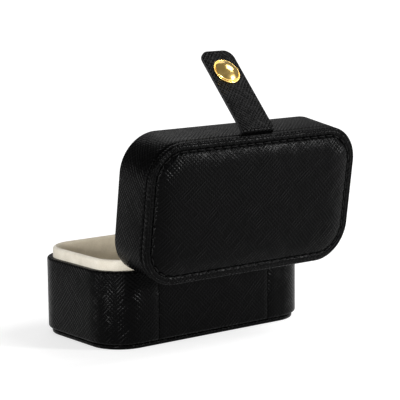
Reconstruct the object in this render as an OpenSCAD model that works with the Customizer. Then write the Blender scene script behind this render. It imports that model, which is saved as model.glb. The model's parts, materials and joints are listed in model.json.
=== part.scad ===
// Ring display box: a leather covered case with a lid hinged at the rear, a suede collar
// that the lid slips over, ring rolls in the tray and a strap with a snap.
// Millimetres. X runs along the long side, Y from the snap side (front) to the hinge side
// (rear), Z up from the surface the box stands on. The lid is drawn as it rests, open.

/* [Case] */
// Length of the case along its long side
case_l = 110; // [96:1:150]
// Width of the case from front to rear
case_w = 60.4; // [52:0.2:90]
// Radius of the upright corners, seen from above
corner_r = 16.4; // [13:0.2:20]
// Height of the base from the table to its rim
base_h = 34; // [29:0.5:60]
// Height of the lid's side wall above the base's rim
lid_h = 19.3; // [14:0.1:32]
// Angle by which the lid rests open
open_angle = 98.6; // [92:0.2:110]

/* [Walls] */
// Thickness of the leather cover
leather_t = 0.6; // [0.4:0.1:0.8]
// Thickness of the base's board
board_t = 2; // [1.8:0.1:2.6]
// Thickness of the suede lining
suede_t = 0.4; // [0.3:0.1:0.5]
// Rounding of the covered edges
edge_round = 1; // [0.7:0.1:1.2]
// Play between the collar and the lid that slips over it
lid_play = 0.5; // [0.4:0.1:0.7]

/* [Collar and tray] */
// Height of the collar above the base's rim
collar_h = 4.5; // [3:0.5:7]
// Thickness of the collar's board
collar_board_t = 1.8; // [1.2:0.1:2.4]
// Number of ring rolls
roll_count = 3; // [2:1:4]
// Height of the ring rolls
roll_h = 15.5; // [10:0.5:18]
// Gap between neighbouring rolls
roll_gap = 0.3; // [0.3:0.1:1]

/* [Bottom and lid panels] */
// Thickness of the bottom plate
foot_t = 1.7; // [1.4:0.1:3]
// How far the bottom plate is set in from the wall
foot_inset = 1.6; // [0:0.2:3]
// Height of the groove between a wall and its panel
groove_h = 0.8; // [0.5:0.1:1.2]
// Depth of that groove, measured inward from the wall
groove_depth = 3.2; // [3.2:0.2:6]
// Thickness of the lid panel at its edge
panel_t = 2.1; // [1.5:0.1:3]
// Height of the padded crown above the panel's margin
crown_h = 1.4; // [0.6:0.1:3]
// Flat margin around the crown
margin_w = 4.8; // [4:0.2:6]
// Distance of the stitch row from the panel's edge
stitch_inset = 3.6; // [2:0.1:4.2]
// Distance from one stitch to the next
stitch_pitch = 4; // [3:0.25:6]
// Length of one stitch
stitch_l = 2.7; // [2:0.1:2.8]
// Thickness of the sewing thread
thread_d = 0.6; // [0.4:0.1:0.8]
// Thickness of the padding inside the lid
pad_t = 2.6; // [2:0.1:4]

/* [Hinge] */
// Width of the leather panel that forms the hinge
hinge_w = 60.2; // [40:0.2:62]
// Distance of the hinge line behind the rear wall
hinge_out = 0.6; // [0.5:0.1:1.2]
// Height of the hinge line above the base's rim
hinge_up = 0; // [0:0.1:0.4]
// Middle radius of the leather's bend at the hinge
hinge_bend_r = 1.2; // [1.1:0.1:1.4]

/* [Strap] */
// Width of the strap
strap_w = 17; // [14:0.2:24]
// Thickness of the strap's outer leather
strap_face_t = 0.8; // [0.6:0.1:1]
// Thickness of the strap's backing leather
strap_back_t = 0.6; // [0.4:0.1:0.8]
// Distance of the snap below the base's rim when the box is shut
snap_drop = 10.9; // [10:0.1:18]
// Distance from the snap's centre to the strap's tip
snap_to_tip = 11.6; // [9:0.1:12]
// Corner radius of the strap's tip
tip_r = 4.4; // [2:0.2:6]
// Angle by which the strap rests folded from the plane of the lid
fold_angle = 51.7; // [30:0.1:70]

/* [Snap] */
// Diameter of the snap's cap
cap_d = 12.5; // [10:0.5:15]
// Height of the cap's dome above its flange
cap_dome_h = 2.5; // [1.5:0.1:3.5]
// Diameter of the socket behind the strap
socket_d = 9.6; // [8:0.2:10]
// Thickness of the socket
socket_t = 1.4; // [1.2:0.1:1.6]
// Diameter of the stud's flange on the wall
stud_flange_d = 10; // [8:0.2:11]
// Diameter of the stud's bead
stud_bead_d = 4; // [3.6:0.1:4.4]

/* [Hidden] */
ROLLS = [for (i = [1 : roll_count]) str("ring_roll_", i)];
$fn = 96;

black = "#1b1b1d";
deep_black = "#101011";
cream = "#e6e2d6";
card = "#b9a88a";
gold = "#d8ab4e";
foam = "#d9d2bd";

// Overcut of a cut beyond the face it goes through
over = 1;
// Gap between pieces that lie beside each other and aren't fixed
rest_gap = 0.3;
// Gap of a seam between two leather pieces
seam_gap = 0.2;

// Plan of the case: the centres of its corner arcs
arc_x = case_l / 2 - corner_r;
arc_y = case_w / 2 - corner_r;
rear_y = case_w / 2;

// Insets from the wall's outside
base_wall_t = leather_t + board_t;
lid_wall_t = base_wall_t - lid_play;
lid_board_t = lid_wall_t - leather_t - suede_t;
collar_t = collar_board_t + 2 * suede_t;
tray_inset = base_wall_t + collar_t;

// Levels of the base
base_bottom = foot_t + groove_h;
base_board_bottom = base_bottom + leather_t;
floor_t = board_t;
floor_top = base_board_bottom + floor_t;
tray_floor_t = leather_t;
roll_bottom = floor_top + tray_floor_t;
collar_top = base_h + collar_h;
foot_round = 0.7;

// Levels of the lid, shut
rim_gap = 0.3;
lid_rim = base_h + rim_gap;
lid_wall_top = base_h + lid_h;
lid_board_top = lid_wall_top - leather_t;
lid_top_board_t = 1.6;
lid_ceiling = lid_board_top - lid_top_board_t;
lip_w = 6;
panel_bottom = lid_wall_top + groove_h;
panel_top = panel_bottom + panel_t;
panel_board_top = panel_top - leather_t;
panel_round = 0.7;

// The crown: an arc that starts at the margin and is level where the corner arcs meet
crown_run = corner_r - margin_w;
crown_r = (crown_run * crown_run + crown_h * crown_h) / (2 * crown_h);
crown_centre_z = panel_board_top + crown_h - crown_r;

// Hinge line
hinge_y = rear_y + hinge_out;
hinge_z = base_h + hinge_up;
// Length of leather that stays loose on either side of the rims
hinge_free = 1.5;

// The lid's outside at the rear, at rest: a point on it, its direction and its outward side
lid_dir = [sin(open_angle), cos(open_angle)];
lid_out = [cos(open_angle), -sin(open_angle)];
lid_edge = [hinge_y, hinge_z] - hinge_out * lid_out + (rim_gap - hinge_up) * lid_dir;
// Centre of the leather's bend, at equal distance from both outsides
bend_y = rear_y - leather_t / 2 + hinge_bend_r;
bend_z = lid_edge[1] + (hinge_bend_r - leather_t / 2 - (bend_y - lid_edge[0]) * lid_out[0]) / lid_out[1];
bend_end = ([bend_y, bend_z] - hinge_bend_r * lid_out - lid_edge) * lid_dir;
bend_far = 10;
// Overlap that joins a straight stretch of leather to its bend
weld = 0.02;

// Strap: its fold line, its length and the stud that it reaches
strap_t = strap_face_t + strap_back_t;
fold_out = 1.2;
fold_y = -case_w / 2 - fold_out;
fold_z = lid_wall_top + groove_h / 2;
knuckle_r = 0.5;
root_block = 0.8;
stud_flange_t = 0.5;
snap_slack = 0.7;
snap_stack = stud_flange_t + snap_slack + socket_t;
snap_reach = lid_h + groove_h / 2 + snap_drop;
shut_tilt = asin((snap_stack - fold_out) / snap_reach);
strap_l = snap_reach + snap_to_tip;
stud_z = fold_z - snap_reach * cos(shut_tilt) - snap_stack / 2 * sin(shut_tilt);
cap_flange_t = 0.5;
cap_flange_w = 0.35;
post_r = 1.5;
post_play = 0.1;
socket_hole_play = 0.4;
stud_h = 1.6;
rivet_r = 1.2;
rivet_head_r = 4;
rivet_head_t = 0.6;
tongue_l = 9.8;
tongue_play = 0.2;
tongue_t = groove_h;
// The tongue reaches a little out of the groove, to the strap's knuckle
tongue_start = -0.3;

// Ring rolls, side by side across the tray
tray_w = case_w - 2 * tray_inset;
tray_l = case_l - 2 * tray_inset;
roll_w = (tray_w - (roll_count + 1) * roll_gap) / roll_count;
roll_end_r = 5;
roll_foot_r = 2;
roll_back_r = min(roll_w / 2, roll_h - roll_foot_r - rest_gap);
roll_crown_w = roll_w - 2 * roll_back_r;

// A rounded rectangle, set in from the case's outline
module outline(inset) {
    r = corner_r - inset;
    square([2 * arc_x, 2 * (arc_y + r)], center = true);
    square([2 * (arc_x + r), 2 * arc_y], center = true);
    for (sx = [-1, 1], sy = [-1, 1])
        translate([sx * arc_x, sy * arc_y]) circle(r = r);
}

// A plate of that outline
module plate(inset, z0, z1) {
    translate([0, 0, z0]) linear_extrude(z1 - z0) outline(inset);
}

// A profile carried once around the case. Its x starts at the centres of the corner arcs.
module around() {
    for (side = [0, 1]) {
        rotate([0, 0, 180 * side]) {
            translate([arc_x, arc_y, 0]) rotate_extrude(angle = 90) children();
            rotate([0, 0, 90]) translate([arc_y, arc_x, 0]) rotate_extrude(angle = 90) children();
            translate([arc_x, arc_y, 0]) rotate([90, 0, 0]) linear_extrude(2 * arc_y) children();
            rotate([0, 0, 90]) translate([arc_y, arc_x, 0]) rotate([90, 0, 0])
                linear_extrude(2 * arc_x) children();
        }
    }
}

// The profile's straight run along the rear wall
module along_rear(width) {
    translate([0, arc_y, 0]) rotate([0, 0, 90]) translate([0, width / 2, 0])
        rotate([90, 0, 0]) linear_extrude(width) children();
}

// An upright strip between two insets, with its outer corners rounded where asked
module strip(inner, outer, z0, z1, round_top, round_bottom) {
    x0 = corner_r - inner;
    x1 = corner_r - outer;
    translate([x0, z0 + round_bottom]) square([x1 - x0, z1 - z0 - round_top - round_bottom]);
    if (round_bottom > 0) {
        translate([x0, z0]) square([x1 - x0 - round_bottom, round_bottom]);
        translate([x1 - round_bottom, z0 + round_bottom]) quarter_round(round_bottom, -1);
    }
    if (round_top > 0) {
        translate([x0, z1 - round_top]) square([x1 - x0 - round_top, round_top]);
        translate([x1 - round_top, z1 - round_top]) quarter_round(round_top, 1);
    }
}

// A quarter of a disc on the outer side, above or below its centre
module quarter_round(r, up) {
    intersection() {
        circle(r = r);
        translate([0, up > 0 ? 0 : -r]) square([r, r]);
    }
}

// A cut between the seams of the hinge panel, from the outside in to a depth
module hinge_cut(depth, z0, z1, gap) {
    translate([-hinge_w / 2 - gap, rear_y - depth, z0])
        cube([hinge_w + 2 * gap, depth + over, z1 - z0]);
}

// The lid's pieces are drawn shut and turned open about the hinge line
module lid_place() {
    translate([0, hinge_y, hinge_z]) rotate([-open_angle, 0, 0])
        translate([0, -hinge_y, -hinge_z]) children();
}

// The strap's pieces are drawn level, running forward from the fold line, and folded down
module strap_place() {
    lid_place() translate([0, fold_y, fold_z]) rotate([fold_angle, 0, 0]) children();
}

// The base's board on edge, between its leather covers
module base_board_profile() {
    strip(base_wall_t, leather_t, base_board_bottom, base_h - leather_t,
        edge_round - leather_t, edge_round - leather_t);
}

module base_wrap_profile() {
    difference() {
        strip(base_wall_t, 0, base_bottom, base_h, edge_round, edge_round);
        base_board_profile();
    }
}

module base_core() {
    color(card) difference() {
        union() {
            around() base_board_profile();
            plate(base_wall_t, base_board_bottom, floor_top);
        }
        translate([0, -case_w / 2, stud_z]) rotate([90, 0, 0]) {
            cylinder(r = rivet_r + post_play, h = 2 * (base_wall_t + over), center = true);
            translate([0, 0, -base_wall_t - over]) cylinder(r = rivet_head_r + post_play, h = rivet_head_t + over);
        }
    }
}

module base_wall_leather() {
    color(black) difference() {
        around() base_wrap_profile();
        hinge_cut(base_wall_t + over, base_bottom - over, base_h + over, seam_gap / 2);
        translate([0, -case_w / 2, stud_z]) rotate([90, 0, 0])
            cylinder(r = rivet_r + post_play, h = 2 * base_wall_t, center = true);
    }
}

module base_hinge_panel() {
    color(black) along_rear(hinge_w - seam_gap) intersection() {
        base_wrap_profile();
        square([corner_r, base_h - hinge_free]);
    }
}

module base_spacer() {
    color(deep_black) plate(max(groove_depth, base_wall_t), foot_t, base_board_bottom);
}

module foot_profile() {
    strip(corner_r, foot_inset, 0, foot_t, 0, foot_round);
}

module foot_board() {
    color(card) plate(foot_inset + leather_t, leather_t, foot_t);
}

module foot_leather() {
    color(black) difference() {
        union() {
            around() foot_profile();
            translate([-arc_x, -arc_y, 0]) cube([2 * arc_x, 2 * arc_y, foot_t]);
        }
        plate(foot_inset + leather_t, leather_t, foot_t + over);
    }
}

// An upright strip between two insets whose top is a half round
module round_topped_strip(inner, outer, z0, z1) {
    top_r = (inner - outer) / 2;
    translate([corner_r - inner, z0]) square([2 * top_r, z1 - top_r - z0]);
    translate([corner_r - inner + top_r, z1 - top_r]) intersection() {
        circle(r = top_r);
        translate([-top_r, 0]) square([2 * top_r, top_r]);
    }
}

module collar_board_profile() {
    round_topped_strip(tray_inset - suede_t, base_wall_t + suede_t, floor_top, collar_top - suede_t);
}

module collar_board() {
    color(card) around() collar_board_profile();
}

// Suede up the collar's outside, over its round top and down its inside
module collar_lining() {
    color(cream) around() difference() {
        round_topped_strip(tray_inset, base_wall_t, floor_top, collar_top);
        collar_board_profile();
    }
}

module tray_floor() {
    color(cream) plate(tray_inset, floor_top, roll_bottom);
}

// A padded roll: a round back on a flat foot, its ends eased and cut to the tray's outline
module ring_roll(index) {
    centre_y = -tray_w / 2 + roll_gap + roll_w / 2 + index * (roll_w + roll_gap);
    half_l = tray_l / 2 - roll_gap;
    half_w = roll_w / 2;
    color(cream) intersection() {
        translate([-half_l, centre_y, roll_bottom]) rotate([90, 0, 90]) linear_extrude(2 * half_l) {
            for (s = [-1, 1])
                translate([s * roll_crown_w / 2, roll_h - roll_back_r]) circle(r = roll_back_r);
            if (roll_crown_w > 0)
                translate([-roll_crown_w / 2, roll_h - roll_back_r]) square([roll_crown_w, roll_back_r]);
            translate([-half_w, roll_foot_r]) square([roll_w, roll_h - roll_back_r - roll_foot_r]);
            translate([roll_foot_r - half_w, 0]) square([roll_w - 2 * roll_foot_r, roll_foot_r]);
            for (s = [-1, 1])
                translate([s * (half_w - roll_foot_r), roll_foot_r]) circle(r = roll_foot_r);
        }
        translate([0, centre_y + roll_w, roll_bottom]) rotate([90, 0, 0]) linear_extrude(2 * roll_w) {
            translate([-half_l, 0]) square([2 * half_l, roll_h - roll_end_r]);
            translate([roll_end_r - half_l, 0]) square([2 * (half_l - roll_end_r), roll_h]);
            for (s = [-1, 1])
                translate([s * (half_l - roll_end_r), roll_h - roll_end_r]) circle(r = roll_end_r);
        }
        plate(tray_inset + roll_gap, roll_bottom, roll_bottom + roll_h);
    }
}

// The stud's flange and bead, facing forward from the wall
module snap_stud() {
    bead_r = 0.5;
    color(gold) translate([0, -case_w / 2, stud_z]) rotate([90, 0, 0]) rotate_extrude() {
        square([stud_flange_d / 2, stud_flange_t]);
        square([stud_bead_d / 2 - bead_r, stud_flange_t + stud_h]);
        translate([stud_bead_d / 2 - bead_r, stud_flange_t + stud_h - bead_r]) intersection() {
            circle(r = bead_r);
            translate([0, -bead_r]) square([bead_r, 2 * bead_r]);
        }
    }
}

// The rivet behind the stud: its head is let into the inside of the board
module stud_rivet() {
    color(gold) translate([0, -case_w / 2, stud_z]) rotate([90, 0, 0]) {
        translate([0, 0, -base_wall_t]) cylinder(r = rivet_head_r, h = rivet_head_t);
        translate([0, 0, -base_wall_t]) cylinder(r = rivet_r, h = base_wall_t);
    }
}

// A wedge from the bend's centre that spans the turn of the leather
module bend_wedge() {
    half = (180 + 90 - (open_angle - 90)) / 2;
    polygon([
        [0, 0],
        [-bend_far, 0],
        [bend_far * cos(half) * 2, bend_far * sin(half) * 2],
        [-bend_far * lid_out[0], -bend_far * lid_out[1]]
    ]);
}

module bend_ring(middle_r) {
    translate([bend_y, bend_z]) intersection() {
        difference() {
            circle(r = middle_r + leather_t / 2);
            circle(r = middle_r - leather_t / 2);
        }
        bend_wedge();
    }
}

// The shape is drawn in Y and Z and carried along the hinge's width
module along_hinge() {
    translate([-(hinge_w - seam_gap) / 2, 0, 0]) rotate([90, 0, 90])
        linear_extrude(hinge_w - seam_gap) children();
}

// Outer leather of the hinge: up the rear wall, around the bend and onto the lid
module hinge_leather() {
    color(black) along_hinge() {
        translate([rear_y - leather_t, base_h - hinge_free])
            square([leather_t, bend_z - base_h + hinge_free + weld]);
        bend_ring(hinge_bend_r);
        translate([hinge_y, hinge_z]) rotate(-open_angle) translate([-hinge_y, -hinge_z])
            translate([rear_y - leather_t, lid_rim + bend_end - weld])
                square([leather_t, hinge_free - bend_end + weld]);
    }
}

// Inner leather of the hinge: it covers both rims and lies in the bend of the outer leather
module hinge_lining() {
    color(black) along_hinge() {
        translate([rear_y - base_wall_t, base_h - leather_t])
            square([board_t, leather_t]);
        translate([rear_y - 2 * leather_t, base_h - leather_t])
            square([leather_t, max(weld, bend_z - base_h + leather_t + weld)]);
        bend_ring(hinge_bend_r + leather_t);
        translate([hinge_y, hinge_z]) rotate(-open_angle) translate([-hinge_y, -hinge_z])
            translate([rear_y - lid_wall_t, lid_rim])
                square([lid_wall_t - leather_t, leather_t]);
        translate([hinge_y, hinge_z]) rotate(-open_angle) translate([-hinge_y, -hinge_z])
            translate([rear_y - 2 * leather_t, lid_rim + min(0, bend_end) - weld])
                square([leather_t, leather_t + weld - min(0, bend_end)]);
    }
}

// The lid's board on edge, between its leather outside and its suede inside
module lid_board_profile() {
    strip(lid_wall_t - suede_t, leather_t, lid_rim + leather_t, lid_board_top,
        edge_round - leather_t, edge_round - leather_t);
}

module lid_wrap_profile() {
    difference() {
        union() {
            strip(lid_wall_t, 0, lid_rim, lid_wall_top, edge_round, edge_round);
            translate([corner_r - lip_w, lid_board_top]) square([lip_w - lid_wall_t, leather_t]);
        }
        strip(lid_wall_t, leather_t, lid_rim + leather_t, lid_board_top,
            edge_round - leather_t, edge_round - leather_t);
    }
}

module lid_core() {
    color(card) lid_place() {
        around() lid_board_profile();
        plate(lid_wall_t - suede_t, lid_ceiling, lid_board_top);
    }
}

module lid_wall_leather() {
    color(black) lid_place() difference() {
        around() lid_wrap_profile();
        hinge_cut(lip_w + over, lid_rim - over, lid_wall_top + over, seam_gap / 2);
    }
}

module lid_hinge_panel() {
    color(black) lid_place() along_rear(hinge_w - seam_gap) intersection() {
        lid_wrap_profile();
        translate([0, lid_rim + hinge_free]) square([corner_r, lid_h]);
    }
}

module lid_spacer() {
    color(deep_black) lid_place() difference() {
        union() {
            plate(groove_depth, lid_wall_top, panel_bottom);
            plate(lip_w + rest_gap, lid_board_top, lid_wall_top);
        }
        translate([-strap_w / 2 - tongue_play, -case_w / 2, lid_wall_top])
            cube([strap_w + 2 * tongue_play, tongue_start + tongue_l + tongue_play, groove_h + over]);
    }
}

module lid_panel_board() {
    color(card) lid_place() plate(leather_t, panel_bottom, panel_board_top);
}

module crown_profile(r) {
    intersection() {
        translate([0, crown_centre_z]) circle(r = r, $fn = 720);
        translate([0, panel_board_top]) square([crown_run + leather_t, crown_h + leather_t]);
    }
}

module lid_padding() {
    color(foam) lid_place() {
        around() crown_profile(crown_r);
        translate([-arc_x, -arc_y, panel_board_top]) cube([2 * arc_x, 2 * arc_y, crown_h]);
    }
}

// Leather over the panel: down its edge, a flat margin and the crown over the padding
module lid_panel_leather() {
    color(black) lid_place() {
        around() difference() {
            union() {
                strip(corner_r, 0, panel_bottom, panel_top, panel_round, 0);
                crown_profile(crown_r + leather_t);
            }
            translate([0, panel_bottom - over])
                square([corner_r - leather_t, panel_board_top - panel_bottom + over]);
            crown_profile(crown_r);
        }
        translate([-arc_x, -arc_y, panel_board_top + crown_h]) cube([2 * arc_x, 2 * arc_y, leather_t]);
    }
}

// One stitch: a half round of thread on the panel's margin, along X
module stitch() {
    intersection() {
        rotate([0, 90, 0]) cylinder(d = thread_d, h = stitch_l, center = true, $fn = 24);
        translate([-stitch_l, -thread_d, 0]) cube([2 * stitch_l, 2 * thread_d, thread_d]);
    }
}

module lid_stitches() {
    row_r = corner_r - stitch_inset;
    quarter = PI * row_r / 2;
    per_x = floor(2 * arc_x / stitch_pitch);
    per_y = floor(2 * arc_y / stitch_pitch);
    per_arc = round(quarter / stitch_pitch);
    color(deep_black) lid_place() translate([0, 0, panel_top]) {
        for (s = [-1, 1]) {
            for (i = [0 : per_x - 1])
                translate([(i - (per_x - 1) / 2) * 2 * arc_x / per_x, s * (arc_y + row_r), 0]) stitch();
            for (i = [0 : per_y - 1])
                translate([s * (arc_x + row_r), (i - (per_y - 1) / 2) * 2 * arc_y / per_y, 0])
                    rotate([0, 0, 90]) stitch();
        }
        for (sx = [-1, 1], sy = [-1, 1], i = [0 : per_arc - 1]) {
            a = (i + 0.5) * 90 / per_arc;
            translate([sx * (arc_x + row_r * cos(a)), sy * (arc_y + row_r * sin(a)), 0])
                rotate([0, 0, sx * sy * (a - 90)]) stitch();
        }
    }
}

module lid_lining() {
    color(cream) lid_place() around()
        strip(lid_wall_t, lid_wall_t - suede_t, lid_rim + leather_t, lid_ceiling, 0, 0);
}

// Padding in the lid's ceiling, with a soft edge
module lid_inner_pad() {
    pad_inset = lid_wall_t + rest_gap;
    color(cream) lid_place() {
        around() strip(corner_r, pad_inset, lid_ceiling - pad_t, lid_ceiling, 0, pad_t / 2);
        translate([-arc_x, -arc_y, lid_ceiling - pad_t]) cube([2 * arc_x, 2 * arc_y, pad_t]);
    }
}

// The strap's skived end, held in the groove between the wall and the panel
module strap_root() {
    color(black) lid_place() translate([-strap_w / 2, -case_w / 2 + tongue_start, lid_wall_top])
        cube([strap_w, tongue_l, tongue_t]);
}

// Plan of the strap from a start to its tip, running towards -Y
module strap_plan(start) {
    translate([-strap_w / 2, tip_r - strap_l]) square([strap_w, strap_l - tip_r - start]);
    translate([tip_r - strap_w / 2, -strap_l]) square([strap_w - 2 * tip_r, tip_r]);
    for (s = [-1, 1])
        translate([s * (strap_w / 2 - tip_r), tip_r - strap_l]) circle(r = tip_r);
}

module snap_hole() {
    translate([0, -snap_reach, -over]) cylinder(r = post_r + post_play, h = strap_t + 2 * over);
}

// Outer leather of the strap, with the full thickness and a round end at the fold line
module strap_leather() {
    color(black) strap_place() difference() {
        union() {
            translate([0, 0, strap_back_t]) linear_extrude(strap_face_t) strap_plan(0);
            translate([-strap_w / 2, -root_block, 0]) cube([strap_w, root_block, strap_t]);
            rotate([0, 90, 0]) cylinder(r = knuckle_r, h = strap_w, center = true);
        }
        snap_hole();
    }
}

module strap_backing() {
    color(black) strap_place() difference() {
        linear_extrude(strap_back_t) strap_plan(root_block);
        snap_hole();
    }
}

// Domed cap on the strap's outside, with the rivet that goes through the strap
module snap_cap() {
    dome_r0 = cap_d / 2 - cap_flange_w;
    dome_r = (dome_r0 * dome_r0 + cap_dome_h * cap_dome_h) / (2 * cap_dome_h);
    color(gold) strap_place() translate([0, -snap_reach, strap_t]) rotate_extrude() {
        translate([0, -strap_t]) square([post_r, strap_t]);
        square([cap_d / 2, cap_flange_t]);
        intersection() {
            translate([0, cap_flange_t + cap_dome_h - dome_r]) circle(r = dome_r, $fn = 180);
            translate([0, cap_flange_t]) square([dome_r0, cap_dome_h]);
        }
    }
}

// Ring on the strap's inside that takes the stud's bead
module snap_socket() {
    color(gold) strap_place() translate([0, -snap_reach, -socket_t]) difference() {
        cylinder(d = socket_d, h = socket_t);
        translate([0, 0, -over]) cylinder(r = stud_bead_d / 2 + socket_hole_play, h = socket_t + 2 * over);
    }
}

base_core();
base_wall_leather();
base_hinge_panel();
base_spacer();
foot_board();
foot_leather();
collar_board();
collar_lining();
tray_floor();
for (i = [0 : roll_count - 1])
    ring_roll(i);
snap_stud();
stud_rivet();
hinge_leather();
hinge_lining();
lid_core();
lid_wall_leather();
lid_hinge_panel();
lid_spacer();
lid_panel_board();
lid_padding();
lid_panel_leather();
lid_stitches();
lid_lining();
lid_inner_pad();
strap_root();
strap_leather();
strap_backing();
snap_cap();
snap_socket();
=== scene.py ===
# %% [markdown]
# A ring display box.
# The real object is a small hard case: board walls under black cross-grained leather, a lid on a
# leather hinge, a cream suede collar and ring rolls inside, and a strap with a gilt snap.
# Its boards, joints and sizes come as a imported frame. This lesson gives every piece that shows
# its own mesh and finish, and hangs it on the part of the box that carries it.

# %% Load the frame
import json
import math

import bmesh
import bpy
from mathutils import Matrix, Vector, noise
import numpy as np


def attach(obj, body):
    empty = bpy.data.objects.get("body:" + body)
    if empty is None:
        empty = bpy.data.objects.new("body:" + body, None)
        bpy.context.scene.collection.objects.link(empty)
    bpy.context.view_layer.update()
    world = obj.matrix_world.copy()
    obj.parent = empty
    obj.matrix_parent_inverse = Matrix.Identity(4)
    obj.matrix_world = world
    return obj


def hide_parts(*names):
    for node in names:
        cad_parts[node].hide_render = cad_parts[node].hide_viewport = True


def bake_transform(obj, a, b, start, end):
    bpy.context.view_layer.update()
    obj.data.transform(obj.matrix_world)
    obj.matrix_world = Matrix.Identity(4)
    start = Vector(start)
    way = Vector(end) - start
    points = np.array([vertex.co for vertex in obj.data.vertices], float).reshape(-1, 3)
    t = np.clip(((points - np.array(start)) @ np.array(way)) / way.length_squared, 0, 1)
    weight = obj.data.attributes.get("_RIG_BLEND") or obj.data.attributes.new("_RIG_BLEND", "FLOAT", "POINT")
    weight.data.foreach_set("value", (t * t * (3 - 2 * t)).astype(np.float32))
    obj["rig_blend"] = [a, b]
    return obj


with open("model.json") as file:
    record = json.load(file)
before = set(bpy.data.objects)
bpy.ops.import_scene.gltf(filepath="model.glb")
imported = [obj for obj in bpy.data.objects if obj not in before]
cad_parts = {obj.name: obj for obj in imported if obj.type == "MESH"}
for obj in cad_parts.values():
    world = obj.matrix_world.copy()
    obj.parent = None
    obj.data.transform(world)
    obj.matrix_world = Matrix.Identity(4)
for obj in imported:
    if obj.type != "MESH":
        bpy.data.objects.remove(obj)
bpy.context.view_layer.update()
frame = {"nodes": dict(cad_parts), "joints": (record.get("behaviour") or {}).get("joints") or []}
print("nodes in the frame:", len(frame["nodes"]))

# %% [markdown]
# The lid lies open and the strap is folded. Their pieces are drawn as if the box were shut, with
# the strap level, and then turned as the frame's joints turn. All drawing is in millimetres, and
# a mesh is made metres only when it is finished.

# %% The turns of the lid and the strap
MM = 0.001
joints = {joint["name"]: joint for joint in frame["joints"]}
open_angle = math.radians(joints["lid_hinge"]["range_deg"][1])
fold_angle = math.radians(-joints["strap_bend"]["range_deg"][0])
hinge_line = Vector(joints["lid_hinge"]["pos_m"]) / MM
IN_PLACE = Matrix.Identity(4)
LID_OPEN = (Matrix.Translation(hinge_line) @ Matrix.Rotation(-open_angle, 4, "X")
            @ Matrix.Translation(-hinge_line))
fold_line = LID_OPEN.inverted() @ (Vector(joints["strap_bend"]["pos_m"]) / MM)
STRAP_FOLDED = LID_OPEN @ Matrix.Translation(fold_line) @ Matrix.Rotation(fold_angle, 4, "X")
print("lid open by", round(math.degrees(open_angle), 1), "and strap folded by",
      round(math.degrees(fold_angle), 1))


# %% Sizes read from the frame
def drawn_box(node, turn=IN_PLACE):
    """Lowest and highest corner of a frame node in millimetres, with its turn undone."""
    back = turn.inverted()
    points = [back @ (v.co / MM) for v in frame["nodes"][node].data.vertices]
    low = Vector([min(p[axis] for p in points) for axis in range(3)])
    high = Vector([max(p[axis] for p in points) for axis in range(3)])
    return low, high


base_low, base_high = drawn_box("base_wall_leather")
lid_low, lid_high = drawn_box("lid_wall_leather", LID_OPEN)
panel_low, panel_high = drawn_box("lid_panel_leather", LID_OPEN)
foot_low, foot_high = drawn_box("foot_leather")
collar_low, collar_high = drawn_box("collar_lining")
hinge_high = drawn_box("hinge_leather")[1]
lining_low, lining_high = drawn_box("lid_lining", LID_OPEN)
pad_low, pad_high = drawn_box("lid_inner_pad", LID_OPEN)
strap_low, strap_high = drawn_box("strap_leather", STRAP_FOLDED)
root_low, root_high = drawn_box("strap_root", LID_OPEN)
cap_low, cap_high = drawn_box("snap_cap", STRAP_FOLDED)
socket_low, socket_high = drawn_box("snap_socket", STRAP_FOLDED)
stud_low, stud_high = drawn_box("snap_stud")
print("case", [round(s, 1) for s in base_high - base_low], "mm")

# %% [markdown]
# Seen from above, the whole box is one rounded rectangle. Four corner centres describe it:
# each wall, edge and lining is a line at some distance from those centres.

# %% The plan of the case
corner_r = 16.4
arc_x = base_high.x - corner_r
arc_y = base_high.y - corner_r
rear_y = base_high.y
leather_t = 0.6
suede_t = 0.4
edge_round = 1.0
base_wall_t = 2.6
lid_wall_t = 2.1
half_perimeter = 2 * arc_x + 2 * arc_y


def way_at(x, y, r):
    """Distance from the rear's middle, clockwise, along the line at r from the corner centres."""
    half = half_perimeter + math.pi * r
    turn = math.atan2(max(abs(y) - arc_y, 0), max(abs(x) - arc_x, 0)) if abs(x) > arc_x else math.pi / 2
    way = min(abs(x), arc_x) + r * (math.pi / 2 - turn) + arc_y - min(abs(y), arc_y)
    if y < 0:
        way = half - way
    return way if x >= 0 else 2 * half - way


def clamp(value, low, high):
    """The value, or the nearer end of the range that it lies outside."""
    return max(low, min(high, value))


def on_core(x, y):
    """The nearest point of the plan between the corner centres."""
    return Vector((clamp(x, -arc_x, arc_x), clamp(y, -arc_y, arc_y)))


def legs(r):
    """The same line as straight runs and quarter turns: start, heading, turning centre, length."""
    quarter = math.pi * r / 2
    return [
        ((0, arc_y + r), (1, 0), None, arc_x),
        ((arc_x, arc_y + r), (1, 0), (arc_x, arc_y), quarter),
        ((arc_x + r, arc_y), (0, -1), None, 2 * arc_y),
        ((arc_x + r, -arc_y), (0, -1), (arc_x, -arc_y), quarter),
        ((arc_x, -arc_y - r), (-1, 0), None, 2 * arc_x),
        ((-arc_x, -arc_y - r), (-1, 0), (-arc_x, -arc_y), quarter),
        ((-arc_x - r, -arc_y), (0, 1), None, 2 * arc_y),
        ((-arc_x - r, arc_y), (0, 1), (-arc_x, arc_y), quarter),
        ((-arc_x, arc_y + r), (1, 0), None, arc_x),
    ]


# %% [markdown]
# Most pieces are a section carried along a line, as a moulding is: corner points joined by
# edges, and rounded by a vertex bevel. Each point keeps the length of the section up to it,
# which later lays the grain flat.

# %% Drawing a section
round_segments = 5


def round_off(bm, geom, offset, segments, affect):
    """Bevels vertices or edges into a quarter round."""
    bmesh.ops.bevel(bm, geom=geom, offset=offset, offset_type="OFFSET", segments=segments,
                    profile=0.5, affect=affect, material=-1, clamp_overlap=True)


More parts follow.
